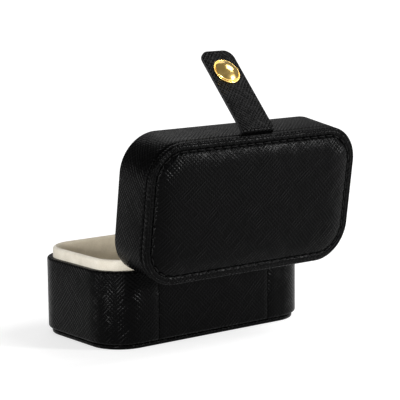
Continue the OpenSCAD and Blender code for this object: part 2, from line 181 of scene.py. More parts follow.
def draw(bm, points, closed=False):
    """Joins (x, y, z, rounding) points by edges, rounds the corners and returns the geometry."""
    run = bm.verts.layers.float.get("run") or bm.verts.layers.float.new("run")
    old = set(bm.verts)
    verts = [bm.verts.new(p[:3]) for p in points]
    pairs = list(zip(verts, verts[1:])) + ([(verts[-1], verts[0])] if closed else [])
    for pair in pairs:
        bm.edges.new(pair)
    for vert, point in zip(verts, points):
        if point[3] > 0:
            round_off(bm, [vert], point[3], round_segments, "VERTICES")
    new = [v for v in bm.verts if v not in old]
    chain = [new[0] if closed else verts[0]]
    while True:
        onward = [e.other_vert(chain[-1]) for e in chain[-1].link_edges]
        onward = [v for v in onward if v not in chain]
        if not onward:
            break
        chain.append(onward[0])
    for before, vert in zip(chain, chain[1:]):
        vert[run] = before[run] + (vert.co - before.co).length
    edges = {e for v in new for e in v.link_edges}
    return new + list(edges)


# %% Carrying a section
corner_steps = 20


def spin(bm, geom, angle, steps, centre=(0, 0, 0), axis=(0, 0, 1), step=(0, 0, 0), merge=False):
    """Sweeps geometry around an axis, along a step or both, and returns its far end."""
    return bmesh.ops.spin(bm, geom=geom, cent=centre, axis=axis, dvec=step, angle=angle,
                          steps=steps, use_merge=merge, use_duplicate=False)["geom_last"]


def carry_line(bm, geom, move, steps):
    """Carries geometry in a straight line, in equal steps, and returns its far end."""
    return spin(bm, geom, 0, steps, step=Vector(move) / steps)


def carry_round(bm, geom, start=0.0, grid=4.0, turns=corner_steps):
    """Carries a section once around the case, clockwise, from x = start at the rear to -start."""
    half = max(1, round((arc_x - start) / grid))
    long_steps = 2 * max(1, round(arc_x / grid))
    short_steps = max(1, round(2 * arc_y / grid))
    for leg_start, heading, centre, length in legs(corner_r):
        if centre:
            geom = spin(bm, geom, -math.pi / 2, turns, centre=(*centre, 0))
            continue
        at_rear = leg_start[1] > arc_y
        way = length - start if at_rear else length
        steps = half if at_rear else (short_steps if heading[0] == 0 else long_steps)
        geom = carry_line(bm, geom, Vector((*heading, 0)) * way, steps)
    return geom


# %% [markdown]
# A UV map in millimetres lets the grain follow the surface. For a wall it is the way around the
# case and along the section. For a top or bottom it is the plan, with its edge laid out flat.

# %% Laying the grain flat
GRAIN = "grain"


def grain_round(bm):
    """UV in millimetres for a wall: way around the case and length along the section."""
    uv = bm.loops.layers.uv.new(GRAIN)
    run = bm.verts.layers.float["run"]
    whole = 2 * (half_perimeter + math.pi * corner_r)
    for face in bm.faces:
        ways = [way_at(v.co.x, v.co.y, corner_r) for v in face.verts]
        wraps = max(ways) - min(ways) > whole / 2
        for loop, way in zip(face.loops, ways):
            if wraps and way < whole / 2:
                way += whole
            loop[uv].uv = (way, loop.vert[run])


def grain_plan(bm, last_r):
    """UV in millimetres for a top: the plan, with the section laid out flat around it."""
    uv = bm.loops.layers.uv.new(GRAIN)
    run = bm.verts.layers.float["run"]
    run_edge = max(vert[run] for vert in bm.verts) + last_r
    for face in bm.faces:
        for loop in face.loops:
            point = loop.vert.co.xy
            centre = on_core(*point)
            out = point - centre
            if out.length > last_r - MM:
                out *= (run_edge - loop.vert[run]) / out.length
            loop[uv].uv = centre + out


def grain_across(bm):
    """UV in millimetres for a piece carried along x: x and length along the section."""
    uv = bm.loops.layers.uv.new(GRAIN)
    run = bm.verts.layers.float["run"]
    for face in bm.faces:
        for loop in face.loops:
            loop[uv].uv = (loop.vert.co.x, loop.vert[run])


# %% [markdown]
# Leather has a thickness and softly rounded edges. So an open skin gets a second face on its
# inside, and then every sharp edge gets a small bevel.

# %% Thickness and soft edges
merge_within = 0.002
sharp_turn = math.radians(50)


def tidy(bm):
    """Merges doubles and turns all faces outward."""
    bmesh.ops.remove_doubles(bm, verts=bm.verts, dist=merge_within)
    bmesh.ops.recalc_face_normals(bm, faces=bm.faces)


def thicken(bm, thickness, inward):
    """Gives an open skin its thickness. inward tells from a face whether it points inside."""
    tidy(bm)
    if inward(bm):
        bmesh.ops.reverse_faces(bm, faces=bm.faces)
    bmesh.ops.solidify(bm, geom=bm.faces[:], thickness=thickness)
    bmesh.ops.recalc_face_normals(bm, faces=bm.faces)


def soften(bm, width, segments=2):
    """Rounds every edge at which the surface turns sharply."""
    edges = [e for e in bm.edges if len(e.link_faces) == 2 and e.calc_face_angle() > sharp_turn]
    round_off(bm, edges, width, segments, "EDGES")


def largest(bm, weight=lambda face: 1):
    """The face with the largest area, or with the largest area times a weight."""
    return max(bm.faces, key=lambda f: f.calc_area() * weight(f))


def points_inside(bm):
    """True where the skin's largest upright face looks towards the middle of the case."""
    face = largest(bm, lambda f: 1 - abs(f.normal.z))
    return face.normal.dot(Vector((*face.calc_center_median().xy, 0))) < 0


# %% Finishing a piece
def link(name, data):
    """A new object with this data, linked to the scene."""
    thing = bpy.data.objects.new(name, data)
    bpy.context.scene.collection.objects.link(thing)
    return thing


def make_piece(bm, name, materials, turn=IN_PLACE):
    """Turns the drawn mesh outward and into place, makes it metres and links it as an object."""
    bmesh.ops.recalc_face_normals(bm, faces=bm.faces)
    bmesh.ops.transform(bm, matrix=Matrix.Scale(MM, 4) @ turn, verts=bm.verts)
    for face in bm.faces:
        face.smooth = True
    mesh = bpy.data.meshes.new(name)
    bm.to_mesh(mesh)
    bm.free()
    for material in materials:
        mesh.materials.append(material)
    print(name, len(mesh.polygons), "faces")
    return link(name, mesh)


def hang(piece, body, slot, *nodes):
    """Lets a piece ride on a body in the place of the frame nodes that it stands for."""
    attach(piece, body)
    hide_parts(*nodes)


# %% [markdown]
# The leather is pressed with a fine cross grain: two families of slanting ridges, 1.35 mm apart,
# that cross everywhere. Two wave textures draw them, a slow noise makes one or the other a
# little deeper, and the higher one drives the bump. Grooves are duller, and their colour is a
# little darker as painted shade.

# %% Helpers for materials
noise_low, noise_high = 0.3, 0.7


def new_material(name, **fixed):
    """A node material whose shader has these fixed values on its own sockets."""
    material = bpy.data.materials.new(name)
    material.use_nodes = True
    shader = material.node_tree.nodes["Principled BSDF"]
    for socket, value in fixed.items():
        shader.inputs[socket.replace("_", " ")].default_value = value
    return material, material.node_tree, shader


def add(tree, kind, inputs=None, **settings):
    """A node with its settings, and with each input linked or set."""
    node = tree.nodes.new(kind)
    for key, value in settings.items():
        setattr(node, key, value)
    for key, value in (inputs or {}).items():
        if isinstance(value, bpy.types.NodeSocket):
            tree.links.new(value, node.inputs[key])
        else:
            node.inputs[key].default_value = value
    return node


def ramp(tree, factor, stops):
    """A colour ramp through (position, colour) stops."""
    node = add(tree, "ShaderNodeValToRGB", {"Fac": factor})
    elements = node.color_ramp.elements
    while len(elements) < len(stops):
        elements.new(1.0)
    for element, (position, colour) in zip(elements, stops):
        element.position = position
        element.color = (*colour, 1.0)
    return node.outputs["Color"]


def spread(tree, value, low, high, to_low, to_high):
    """Maps a value from one range onto another, clamped."""
    node = add(tree, "ShaderNodeMapRange", {"Value": value, "From Min": low, "From Max": high,
                                            "To Min": to_low, "To Max": to_high})
    return node.outputs["Result"]


def combine(tree, operation, first, second):
    """One step of arithmetic between two values."""
    node = add(tree, "ShaderNodeMath", {0: first, 1: second}, operation=operation)
    return node.outputs["Value"]


def own_place(tree):
    """The piece's own coordinates, in metres."""
    return add(tree, "ShaderNodeTexCoord").outputs["Object"]


def mottle(tree, place, scale, detail):
    """Noise at one scale, mostly between 0.3 and 0.7."""
    node = add(tree, "ShaderNodeTexNoise", {"Vector": place, "Scale": scale, "Detail": detail})
    return node.outputs["Fac"]


def coat(tree, shader, colour, roughness, height, depth):
    """Links colour, roughness and relief to a shader. depth is the relief's height in metres."""
    relief = add(tree, "ShaderNodeBump", {"Height": height, "Distance": depth})
    tree.links.new(colour, shader.inputs["Base Color"])
    tree.links.new(roughness, shader.inputs["Roughness"])
    tree.links.new(relief.outputs["Normal"], shader.inputs["Normal"])


# %% The cross-grained leather
ridge_pitch = 1.35
ridge_lean = math.radians(43)
wave_turn = 20
wave_scale = 2 * math.pi / wave_turn / ridge_pitch
drift = 1.6
drift_scale = 0.06
stroke_stretch = (0.12, 0.6, 1)
stroke_range = (0.33, 0.57, 0.3, 1.0)
second_start = 37.0
patch_scale = 0.1
patch_low, patch_high = 0.4, 0.6
weak_press = 0.7
pore_scale = 3.2
pore_share = 0.08
wear_scale = 0.05
wear_swing = 0.04
groove_top, ridge_foot = 0.1, 0.4
groove_haze = 0.06
shade_low, shade_high = 0.1, 0.85


def ridges(tree, place, lean, offset):
    """One family of pressed ridges: slanting lines that bend a little and break into strokes."""
    turned = add(tree, "ShaderNodeMapping", {"Vector": place, "Rotation": (0, 0, lean),
                                             "Location": (offset, offset, 0)}).outputs["Vector"]
    lines = add(tree, "ShaderNodeTexWave", {"Vector": turned, "Scale": wave_scale, "Distortion": 1.3,
                                            "Detail": 1.0, "Detail Scale": 0.5},
                wave_type="BANDS", bands_direction="Y", wave_profile="SIN")
    along = add(tree, "ShaderNodeMapping", {"Vector": turned, "Scale": stroke_stretch})
    strokes = add(tree, "ShaderNodeTexNoise", {"Vector": along.outputs["Vector"], "Scale": 1.0,
                                               "Detail": 2.0, "Roughness": 0.6})
    pressed = spread(tree, strokes.outputs["Fac"], *stroke_range)
    return combine(tree, "MULTIPLY", lines.outputs["Fac"], pressed)


def cross_grain(tree, place):
    """Height of the pressed grain, 0 in a groove and about 1 on a ridge."""
    slow = add(tree, "ShaderNodeTexNoise", {"Vector": place, "Scale": drift_scale, "Detail": 1.0})
    centred = add(tree, "ShaderNodeVectorMath", {0: slow.outputs["Color"], 1: (0.5, 0.5, 0.5)},
                  operation="SUBTRACT")
    moved = add(tree, "ShaderNodeVectorMath", {0: centred.outputs["Vector"], "Scale": drift},
                operation="SCALE")
    place = add(tree, "ShaderNodeVectorMath", {0: place, 1: moved.outputs["Vector"]},
                operation="ADD").outputs["Vector"]
    patches = mottle(tree, place, patch_scale, 1.0)
    lead = spread(tree, patches, patch_low, patch_high, weak_press, 1.0)
    yields = spread(tree, patches, patch_low, patch_high, 1.0, weak_press)
    first = combine(tree, "MULTIPLY", ridges(tree, place, ridge_lean, 0.0), lead)
    second = combine(tree, "MULTIPLY", ridges(tree, place, -ridge_lean, second_start), yields)
    return combine(tree, "MAXIMUM", first, second)


# dark colours the grain's grooves and light its ridges; the difference between them is painted shade in the
# grooves.
dark = (0.0006, 0.0006, 0.0006)
light = (0.0014, 0.0014, 0.0015)
roughness = 0.24
grain_depth = 0.00016
black_leather, tree, shader = new_material("cross_grained_leather", Specular_IOR_Level=0.034)
place = add(tree, "ShaderNodeUVMap", uv_map=GRAIN).outputs["UV"]
grain = cross_grain(tree, place)
pores = mottle(tree, place, pore_scale, 3.0)
worn = mottle(tree, place, wear_scale, 3.0)
wear = spread(tree, worn, noise_low, noise_high, -wear_swing, wear_swing)
gloss = spread(tree, grain, groove_top, ridge_foot, roughness + groove_haze, roughness)
fine = combine(tree, "MULTIPLY", pores, pore_share)
coat(tree, shader, ramp(tree, grain, [(shade_low, dark), (shade_high, light)]),
     combine(tree, "ADD", gloss, wear), combine(tree, "ADD", grain, fine), grain_depth)
print("ridges per 10 mm:", round(10 / ridge_pitch, 1))

# %% [markdown]
# The strap's cut sides have a slightly glossy black paint, and the thread is waxed and twisted.
# The snap is gilt brass, polished but with a trace of haze. The unseen boards and the card in
# the grooves are plain stocks. All but the thread are two shades of one noise.

# %% Paint, metal, card, board and thread
def mottled(name, shades, scale, detail, gloss, depth, **fixed):
    """A material that runs between two shades and two roughnesses with one noise."""
    material, tree, shader = new_material(name, **fixed)
    noise_fac = mottle(tree, own_place(tree), scale, detail)
    colour = ramp(tree, noise_fac, list(zip((noise_low, noise_high), shades)))
    coat(tree, shader, colour, spread(tree, noise_fac, noise_low, noise_high, *gloss), noise_fac, depth)
    return material


edge_paint = mottled("edge_paint", [(0.006, 0.006, 0.0065), (0.012, 0.012, 0.0125)], scale=900.0,
                     detail=2.0, gloss=(0.3, 0.42), depth=0.00004, Specular_IOR_Level=0.25)
gilt_brass = mottled("gilt_brass", [(0.82, 0.55, 0.16), (0.92, 0.65, 0.23)], scale=420.0,
                     detail=4.0, gloss=(0.14, 0.26), depth=0.00002, Metallic=1.0)
black_card = mottled("black_card", [(0.004, 0.004, 0.004), (0.009, 0.009, 0.009)], scale=1500.0,
                     detail=5.0, gloss=(0.9, 0.8), depth=0.00005, Specular_IOR_Level=0.2)
grey_board = mottled("grey_board", [(0.30, 0.25, 0.18), (0.42, 0.36, 0.27)], scale=900.0,
                     detail=5.0, gloss=(0.9, 0.8), depth=0.00006, Specular_IOR_Level=0.2)
thread, tree, shader = new_material("waxed_thread", Specular_IOR_Level=0.08)
twist = add(tree, "ShaderNodeTexWave", {"Vector": own_place(tree), "Scale": 700.0, "Distortion": 1.0},
            wave_type="BANDS", bands_direction="DIAGONAL", wave_profile="SIN").outputs["Fac"]
colour = ramp(tree, twist, [(0.2, (0.001, 0.001, 0.001)), (0.8, (0.004, 0.004, 0.004))])
coat(tree, shader, colour, spread(tree, twist, 0, 1, 0.55, 0.4), twist, 0.00008)

# %% [markdown]
# Suede is matt, with a soft sheen at a slant, and it is lighter or darker as its nap lies.
# Noise at two scales draws the nap.

# %% Cream suede, and tan suede partly painted with shade
stroke_scale = 160.0
stroke_share = 0.6
nap_scale = 2600.0
nap_gloss = (0.95, 0.8)
nap_depth = 0.00018


def suede(name, dark, light):
    """Suede between two shades."""
    material, tree, shader = new_material(name, Sheen_Weight=0.25, Sheen_Roughness=0.5,
                                          Specular_IOR_Level=0.15)
    place = own_place(tree)
    strokes = mottle(tree, place, stroke_scale, 3.0)
    nap = mottle(tree, place, nap_scale, 2.0)
    both = combine(tree, "ADD", combine(tree, "MULTIPLY", strokes, stroke_share),
                   combine(tree, "MULTIPLY", nap, 1 - stroke_share))
    coat(tree, shader, ramp(tree, both, [(0.35, dark), (0.65, light)]),
         spread(tree, nap, noise_low, noise_high, *nap_gloss), both, nap_depth)
    return material


cream_suede = suede("cream_suede", (0.60, 0.55, 0.45), (0.76, 0.715, 0.62))
# A darker, tanner suede for the collar's inside: partly its own tan, partly painted shade from the lid.
tan_and_painted_shade_suede = suede("tan_and_painted_shade_suede", (0.47, 0.415, 0.32), (0.60, 0.54, 0.43))

# %% [markdown]
# Nine nodes of the frame already have the right shape, and most of them never show. They stay
# as they are and only get a finish.

# %% Finishes for the plain nodes
plain_nodes = {
    "base_core": grey_board, "lid_core": grey_board, "collar_board": grey_board,
    "foot_board": grey_board, "lid_panel_board": grey_board, "base_spacer": black_card,
    "lid_spacer": black_card, "tray_floor": cream_suede, "stud_rivet": gilt_brass,
}
for node, material in plain_nodes.items():
    mesh = frame["nodes"][node].data
    mesh.materials.clear()
    mesh.materials.append(material)
print("frame nodes with a finish:", len(plain_nodes))

# %% [markdown]
# One piece of leather is wrapped around the base's wall, from one seam beside the hinge panel
# to the other. It rolls over the rim and under the bottom edge.

# %% Leather on the base's wall
seam_gap = 0.2
half_hinge = hinge_high.x
seam_x = half_hinge + seam_gap
soft_edge = 0.22


def wall_cover(low, high, inner_low, inner_high, name, turn):
    """Leather around a wall, with its section turned in at both edges."""
    bm = bmesh.new()
    section = [
        (seam_x, rear_y - inner_low, low, 0),
        (seam_x, rear_y, low, edge_round),
        (seam_x, rear_y, high, edge_round),
        (seam_x, rear_y - inner_high, high, 0),
    ]
    carry_round(bm, draw(bm, section), start=seam_x)
    thicken(bm, leather_t, points_inside)
    grain_round(bm)
    soften(bm, soft_edge)
    return make_piece(bm, name, [black_leather], turn)


base_cover = wall_cover(base_low.z, base_high.z, base_wall_t, base_wall_t, "base_wall_cover", IN_PLACE)
hang(base_cover, "base", "black_leather", "base_wall_leather")

# %% [markdown]
# The lid's wall is wrapped in the same way. Its upper edge turns in further, as a lip under the
# padded top. That lip is the floor of the groove around the top.

# %% Leather on the lid's wall
lip_w = 6.0
lid_cover = wall_cover(lid_low.z, lid_high.z, lid_wall_t, lip_w, "lid_wall_cover", LID_OPEN)
hang(lid_cover, "lid", "black_leather", "lid_wall_leather")

# %% [markdown]
# The hinge is leather too. One panel between the seams runs up the base's rear wall, bends
# between the rims and goes on along the lid's rear wall. It is drawn open, as it rests, and it
# bends between the two bodies.

# %% The hinge panel
bend_r = 0.9
panel_steps = 24
still_y, still_z = -0.1, -0.4
turned_y, turned_z = 1.0, 0.7


def at_lid(y, z):
    """A point of the shut lid's section, where it lies with the lid open."""
    return (LID_OPEN @ Vector((0, y, z))).yz


def crossing(y, point, heading):
    """Where the line through a point meets the upright at y."""
    return Vector((y, point[1] + (y - point[0]) * heading[1] / heading[0]))


lid_heading = (at_lid(rear_y, lid_high.z) - at_lid(rear_y, lid_low.z)).normalized()
valley = crossing(rear_y, at_lid(rear_y, lid_low.z), lid_heading)
valley_cut = bend_r * math.tan(open_angle / 2)
bend_start = Vector((0, rear_y + still_y, base_high.z + still_z)) * MM
bend_end = Vector((0, rear_y + turned_y, base_high.z + turned_z)) * MM


def along_x(bm, section):
    """Carries a section across the hinge panel's width."""
    points = [(-half_hinge, *point, rounding) for point, rounding in section]
    return carry_line(bm, draw(bm, points), (2 * half_hinge, 0, 0), panel_steps)


bm = bmesh.new()
along_x(bm, [
    ((rear_y - base_wall_t, base_low.z), 0),
    ((rear_y, base_low.z), edge_round),
    (valley, valley_cut),
    (at_lid(rear_y, lid_high.z), edge_round),
    (at_lid(rear_y - lip_w, lid_high.z), 0),
])
thicken(bm, leather_t, lambda b: largest(b).normal.y < 0)
grain_across(bm)
soften(bm, soft_edge)
hinge_cover = make_piece(bm, "hinge_panel_cover", [black_leather])
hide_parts("base_hinge_panel", "hinge_leather", "lid_hinge_panel")
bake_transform(hinge_cover, "base", "lid", start=bend_start, end=bend_end)

# %% [markdown]
# A second strip of leather lines the hinge from inside and covers both rims between the seams.

# %% The inner strip of the hinge
strip_share = 0.8
strip_r = bend_r + 2 * leather_t
strip_y = rear_y - 2 * leather_t
rim_round = 0.4
knee_share = 0.98
lid_rim_in = 1.2
lid_rim_round = 0.2
lid_rim_gap = 0.1
lid_end_gap = 0.05

bm = bmesh.new()
lid_line = at_lid(rear_y, lid_low.z) - lid_heading.orthogonal() * 2 * leather_t
along_x(bm, [
    ((rear_y - base_wall_t, base_high.z), 0),
    ((strip_y, base_high.z), rim_round),
    (crossing(strip_y, lid_line, lid_heading), strip_r * knee_share),
    (at_lid(rear_y - lid_rim_in, lid_low.z - lid_rim_gap), lid_rim_round),
    (at_lid(rear_y - lid_wall_t, lid_low.z - lid_end_gap), 0),
])
thicken(bm, leather_t * strip_share, lambda b: largest(b).normal.z < 0)
grain_across(bm)
inner_strip = make_piece(bm, "hinge_inner_strip", [black_leather])
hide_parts("hinge_lining")
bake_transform(inner_strip, "base", "lid", start=bend_start, end=bend_end)

# %% [markdown]
# Under the case lies a thin plate in the same leather. Its middle is closed with one face on
# each side, after the grain's map is made, so these two faces show no grain.

# %% The bottom plate
foot_round = 0.7
foot_top_round = 0.3


def close_ring(bm, keep):
    """Closes the open ring whose points all pass the test, with one flat face."""
    ring = [e for e in bm.edges if len(e.link_faces) == 1 and all(keep(v) for v in e.verts)]
    bmesh.ops.edgeloop_fill(bm, edges=ring)


bm = bmesh.new()
foot_y = foot_high.y
middle = arc_y + corner_r / 2
carry_round(bm, draw(bm, [
    (0, middle, foot_high.z, 0),
    (0, foot_y, foot_high.z, foot_top_round),
    (0, foot_y, foot_low.z, foot_round),
    (0, middle, foot_low.z, 0),
]))
tidy(bm)
grain_plan(bm, middle - arc_y)
close_ring(bm, lambda v: v.co.z < foot_low.z + MM)
close_ring(bm, lambda v: v.co.z > foot_high.z - MM)
bottom_cover = make_piece(bm, "bottom_plate_cover", [black_leather])
hang(bottom_cover, "base", "black_leather", "foot_leather")

# %% [markdown]
# The collar stands up out of the base, and the lid slips over it. Its suede is cream outside
# and over the rounded top. Down the inside it is tanner: partly the suede's own tan, partly
# painted shade from the lid.

# %% Suede on the collar
collar_t = 2.6
collar_grid = 3.0

bm = bmesh.new()
outer_y = collar_high.y
inner_y = outer_y - collar_t
carry_round(bm, draw(bm, [
    (0, inner_y, collar_low.z, 0),
    (0, inner_y, collar_high.z, collar_t / 2 - MM),
    (0, outer_y, collar_high.z, collar_t / 2 - MM),
    (0, outer_y, collar_low.z, 0),
]), grid=collar_grid)
tidy(bm)
# Faces that look inward get the tanner suede, whose extra darkness is partly painted shade.
for face in bm.faces:
    middle = face.calc_center_median().xy
    face.material_index = int(face.normal.xy.dot(middle - on_core(*middle)) < 0)
collar_cover = make_piece(bm, "collar_suede", [cream_suede, tan_and_painted_shade_suede])
hang(collar_cover, "base", "cream_suede", "collar_lining")


# %% Suede inside the lid's wall
band_round = 0.15

bm = bmesh.new()
band_y = lining_high.y
carry_round(bm, draw(bm, [
    (0, band_y - suede_t, lining_low.z, band_round),
    (0, band_y - suede_t, lining_high.z, 0),
    (0, band_y, lining_high.z, 0),
    (0, band_y, lining_low.z, band_round),
], closed=True))
tidy(bm)
lid_band = make_piece(bm, "lid_wall_suede", [cream_suede], LID_OPEN)
hang(lid_band, "lid", "cream_suede", "lid_lining")

# %% [markdown]
# The padded pieces come next. Their rim is carried around like the walls. The middle, between
# the corner centres, is filled with a grid, so that the whole top can be shaped afterwards.

# %% Filling a top with a grid
core_r = 1.2
core_slack = 0.01
level_slack = 0.3


def fill_plateau(bm, level):
    """Fills the ring at core_r from the corner centres with a grid of faces."""
    limit = core_r + core_slack
    ring = [e for e in bm.edges if len(e.link_faces) == 1
            and all(abs(v.co.x) < arc_x + limit and abs(v.co.y) < arc_y + limit for v in e.verts)
            and all(abs(v.co.z - level) < level_slack for v in e.verts)]
    rails = [e for e in ring if all(abs(v.co.y) > arc_y - MM for v in e.verts)]
    bmesh.ops.grid_fill(bm, edges=rails, mat_nr=0, use_smooth=True, use_interp_simple=True)


def from_centres(co):
    """Distance of a point from the nearest corner centre, or 0 between them."""
    return math.hypot(max(abs(co.x) - arc_x, 0), max(abs(co.y) - arc_y, 0))


def ease(value, start, end):
    """0 before start, 1 after end and a smooth rise between them."""
    share = clamp((value - start) / (end - start), 0.0, 1.0)
    return share * share * (3 - 2 * share)


# %% [markdown]
# The lid's padded top: foam on a board under one piece of leather. From the edge inwards there
# is a rolled edge, a flat margin, a valley where the stitches pull the leather down, and then
# the crown. Every stitch hole makes its own small dimple, and slow noise loosens the crown.

# %% Leather over the padded top
stitch_inset = 3.6
stitch_pitch_wish = 4.3
row_r = corner_r - stitch_inset
row_length = 2 * half_perimeter + 2 * math.pi * row_r
stitch_count = round(row_length / stitch_pitch_wish)
stitch_pitch = row_length / stitch_count
stitch_l = 3.1
margin_h = 2.1
crown_extra = 0.4
panel_top = panel_low.z + margin_h
crown_rise = panel_high.z - panel_top + crown_extra
crown_power = 2.8
edge_roll = 0.9
crease_inset = 1.35
crease_depth = 0.16
crease_w = 0.28
valley_depth = 0.3
valley_w = 0.7
dimple_depth = 0.3
dimple_w = 0.55
slack_depth = 0.07
slack_l = 9
slack_starts, slack_full = 5, 10
under_w = 3
under_round = 0.35
top_grid = 0.67
top_turns = 32
top_rings = [15.3, 15.15, 15.05, 14.95, 14.8, 14.6, 14.2, 13.8, 13.5, 13.25, 13, 12.8, 12.6,
             12.35, 12.1, 11.8, 11.3, 10.6, 9.7, 8.6, 7.2, 5.6, 4, 2.5, core_r]


def top_height(co):
    """Height of the padded top above the margin at a point of the plan."""
    inset = corner_r - from_centres(co)
    share = clamp((inset - stitch_inset) / (corner_r - stitch_inset), 0.0, 1.0)
    crown = crown_rise * (1 - (1 - share) ** crown_power)
    off_row = (inset - stitch_inset) / valley_w
    valley = valley_depth * math.exp(-off_row * off_row)
    along = way_at(co.x, co.y, row_r) / stitch_pitch
    to_hole = (abs(along - round(along)) - (1 - stitch_l / stitch_pitch) / 2) * stitch_pitch
    hole = math.hypot(to_hole, inset - stitch_inset) / dimple_w
    dimple = dimple_depth * math.exp(-hole * hole)
    off_crease = (inset - crease_inset) / crease_w
    crease = crease_depth * math.exp(-off_crease * off_crease)
    waves = noise.noise(Vector((co.x / slack_l, co.y / slack_l, 0)))
    slack = slack_depth * waves * ease(inset, slack_starts, slack_full)
    return crown - valley - dimple - crease + slack


bm = bmesh.new()
section = [
    (0, rear_y - under_w, panel_low.z, 0),
    (0, rear_y, panel_low.z, under_round),
    (0, rear_y, panel_top, edge_roll),
]
section += [(0, arc_y + r, panel_top, 0) for r in top_rings]
carry_round(bm, draw(bm, section), grid=top_grid, turns=top_turns)
bmesh.ops.remove_doubles(bm, verts=bm.verts, dist=merge_within)
fill_plateau(bm, panel_top)
close_ring(bm, lambda v: v.co.z < panel_low.z + MM)
grain_plan(bm, core_r)
for vert in bm.verts:
    if vert.co.z > panel_top - MM:
        vert.co.z += top_height(vert.co)
lid_top = make_piece(bm, "lid_top_cushion", [black_leather], LID_OPEN)
hang(lid_top, "lid", "black_leather", "lid_panel_leather", "lid_padding")

# %% [markdown]
# A stitch is a thin bar of thread bent like a staple's back, with both ends down in its holes.
# One is made by spinning a small circle, and then it is copied along the row.

# %% The stitches around the top
thread_r = 0.29
stitch_rise = 0.42
stitch_sides = 6
stitch_bends = 6
stitch_tuck = 0.1
stitch_lift = 0.02


def points_of(geom):
    """The vertices of a list of mesh elements."""
    return [g for g in geom if isinstance(g, bmesh.types.BMVert)]


def on_row(way, r):
    """Point and heading at a distance along the line at r from the corner centres."""
    for (x, y), (hx, hy), centre, length in legs(r):
        if way <= length:
            break
        way -= length
    start, heading = Vector((x, y)), Vector((hx, hy))
    if not centre:
        return start + heading * way, heading
    turn = Matrix.Rotation(-way / r, 2)
    centre = Vector(centre)
    return centre + turn @ (start - centre), turn @ heading


bm = bmesh.new()
half_l = stitch_l / 2 + stitch_tuck
bow_r = (half_l * half_l + stitch_rise * stitch_rise) / (2 * stitch_rise)
half_turn = math.asin(half_l / bow_r)
drop = bow_r - stitch_rise
section = bmesh.ops.create_circle(bm, cap_ends=False, segments=stitch_sides, radius=thread_r,
                                  matrix=Matrix.Translation((0, 0, bow_r - drop))
                                  @ Matrix.Rotation(math.pi / 2, 4, "Y"))["verts"]
bmesh.ops.rotate(bm, verts=section, cent=(0, 0, -drop),
                 matrix=Matrix.Rotation(-half_turn, 3, "Y"))
ring = section + list({e for v in section for e in v.link_edges})
spin(bm, ring, 2 * half_turn, stitch_bends, centre=(0, 0, -drop), axis=(0, 1, 0))
bmesh.ops.holes_fill(bm, edges=bm.edges, sides=stitch_sides)
bmesh.ops.recalc_face_normals(bm, faces=bm.faces)
pattern = bm.faces[:] + bm.edges[:] + bm.verts[:]
level = panel_top - valley_depth + stitch_lift
for index in range(stitch_count):
    point, heading = on_row((index + 0.5) * stitch_pitch, row_r)
    turn = Matrix.Rotation(math.atan2(heading.y, heading.x), 4, "Z")
    copy = bmesh.ops.duplicate(bm, geom=pattern)["geom"]
    bmesh.ops.transform(bm, matrix=Matrix.Translation((*point, level)) @ turn, verts=points_of(copy))
bmesh.ops.delete(bm, geom=points_of(pattern), context="VERTS")
stitches = make_piece(bm, "lid_top_stitching", [thread], LID_OPEN)
hang(stitches, "lid", "black_thread", "lid_stitches")
print("stitches:", stitch_count, "at", round(stitch_pitch, 2), "mm")

# %% [markdown]
# Inside, the lid has a pad of suede over thin foam, with a rounded edge and a slight swell. Its
# first two rings are out of order, so a narrow band of suede lies folded flat on itself there.

# %% The pad in the lid's ceiling
pad_swell = 0.5
pad_swell_from = 4.5
pad_wave = 0.12
pad_wave_l = 14
pad_under_w = 4
pad_back_round = 0.5
pad_round_share = 0.72
pad_grid = 2.0
pad_turns = 16
pad_rings = [11.5 - 3.2, 9.6, 7.4, 5.2, 3.2, core_r]

bm = bmesh.new()
pad_t = pad_high.z - pad_low.z
edge = pad_high.y
section = [
    (0, edge - pad_under_w, pad_high.z, 0),
    (0, edge, pad_high.z, pad_back_round),
    (0, edge, pad_low.z, pad_t * pad_round_share),
]
section += [(0, arc_y + r, pad_low.z, 0) for r in pad_rings]
carry_round(bm, draw(bm, section), grid=pad_grid, turns=pad_turns)
bmesh.ops.remove_doubles(bm, verts=bm.verts, dist=merge_within)
fill_plateau(bm, pad_low.z)
close_ring(bm, lambda v: v.co.z > pad_high.z - MM)
for vert in bm.verts:
    if vert.co.z < pad_low.z + MM:
        inner = ease(corner_r - from_centres(vert.co), pad_swell_from, corner_r)
        wave = noise.noise(Vector((vert.co.x / pad_wave_l, vert.co.y / pad_wave_l, 5)))
        vert.co.z += pad_swell * (1 - inner) + pad_wave * wave * inner
ceiling = make_piece(bm, "lid_ceiling_pad", [cream_suede], LID_OPEN)
hang(ceiling, "lid", "cream_suede", "lid_inner_pad")

# %% [markdown]
# Three padded rolls fill the tray, and rings are held in the slits between them. A roll has a
# flat foot, upright sides and a round back. Its suede is gathered at both ends, so the back
# falls off there, and the sides draw in a little.

# %% The ring rolls
roll_steps = 36
roll_end = 7.0
roll_foot_round = 1.6
roll_back_share = 0.98
side_cuts, longest_side = 4, 3
tray_inset = 5.2
tray_play = 0.3
cap_rings = (0.85, 0.75, 0.6, 0.4)
end_drop, end_curve = 0.16, 2.4
waist, waist_top, end_waist = 0.035, 1.2, 0.03
wave_rise, wave_keep = 0.16, 0.1
wave_l, wave_w = 17, 9
pucker_rise, pucker_turn, pucker_keep = 0.25, 9, 0.5
end_gap = 1.1
at_end = 0.999


def into_tray(co):
    """Pulls a point back inside the tray's rounded corners."""
    limit = corner_r - tray_inset - tray_play
    out = Vector((max(abs(co.x) - arc_x, 0), max(abs(co.y) - arc_y, 0)))
    if out.length > limit and out.x > 0 and out.y > 0:
        out *= limit / out.length
        co.x = math.copysign(arc_x + out.x, co.x)
        co.y = math.copysign(arc_y + out.y, co.y)


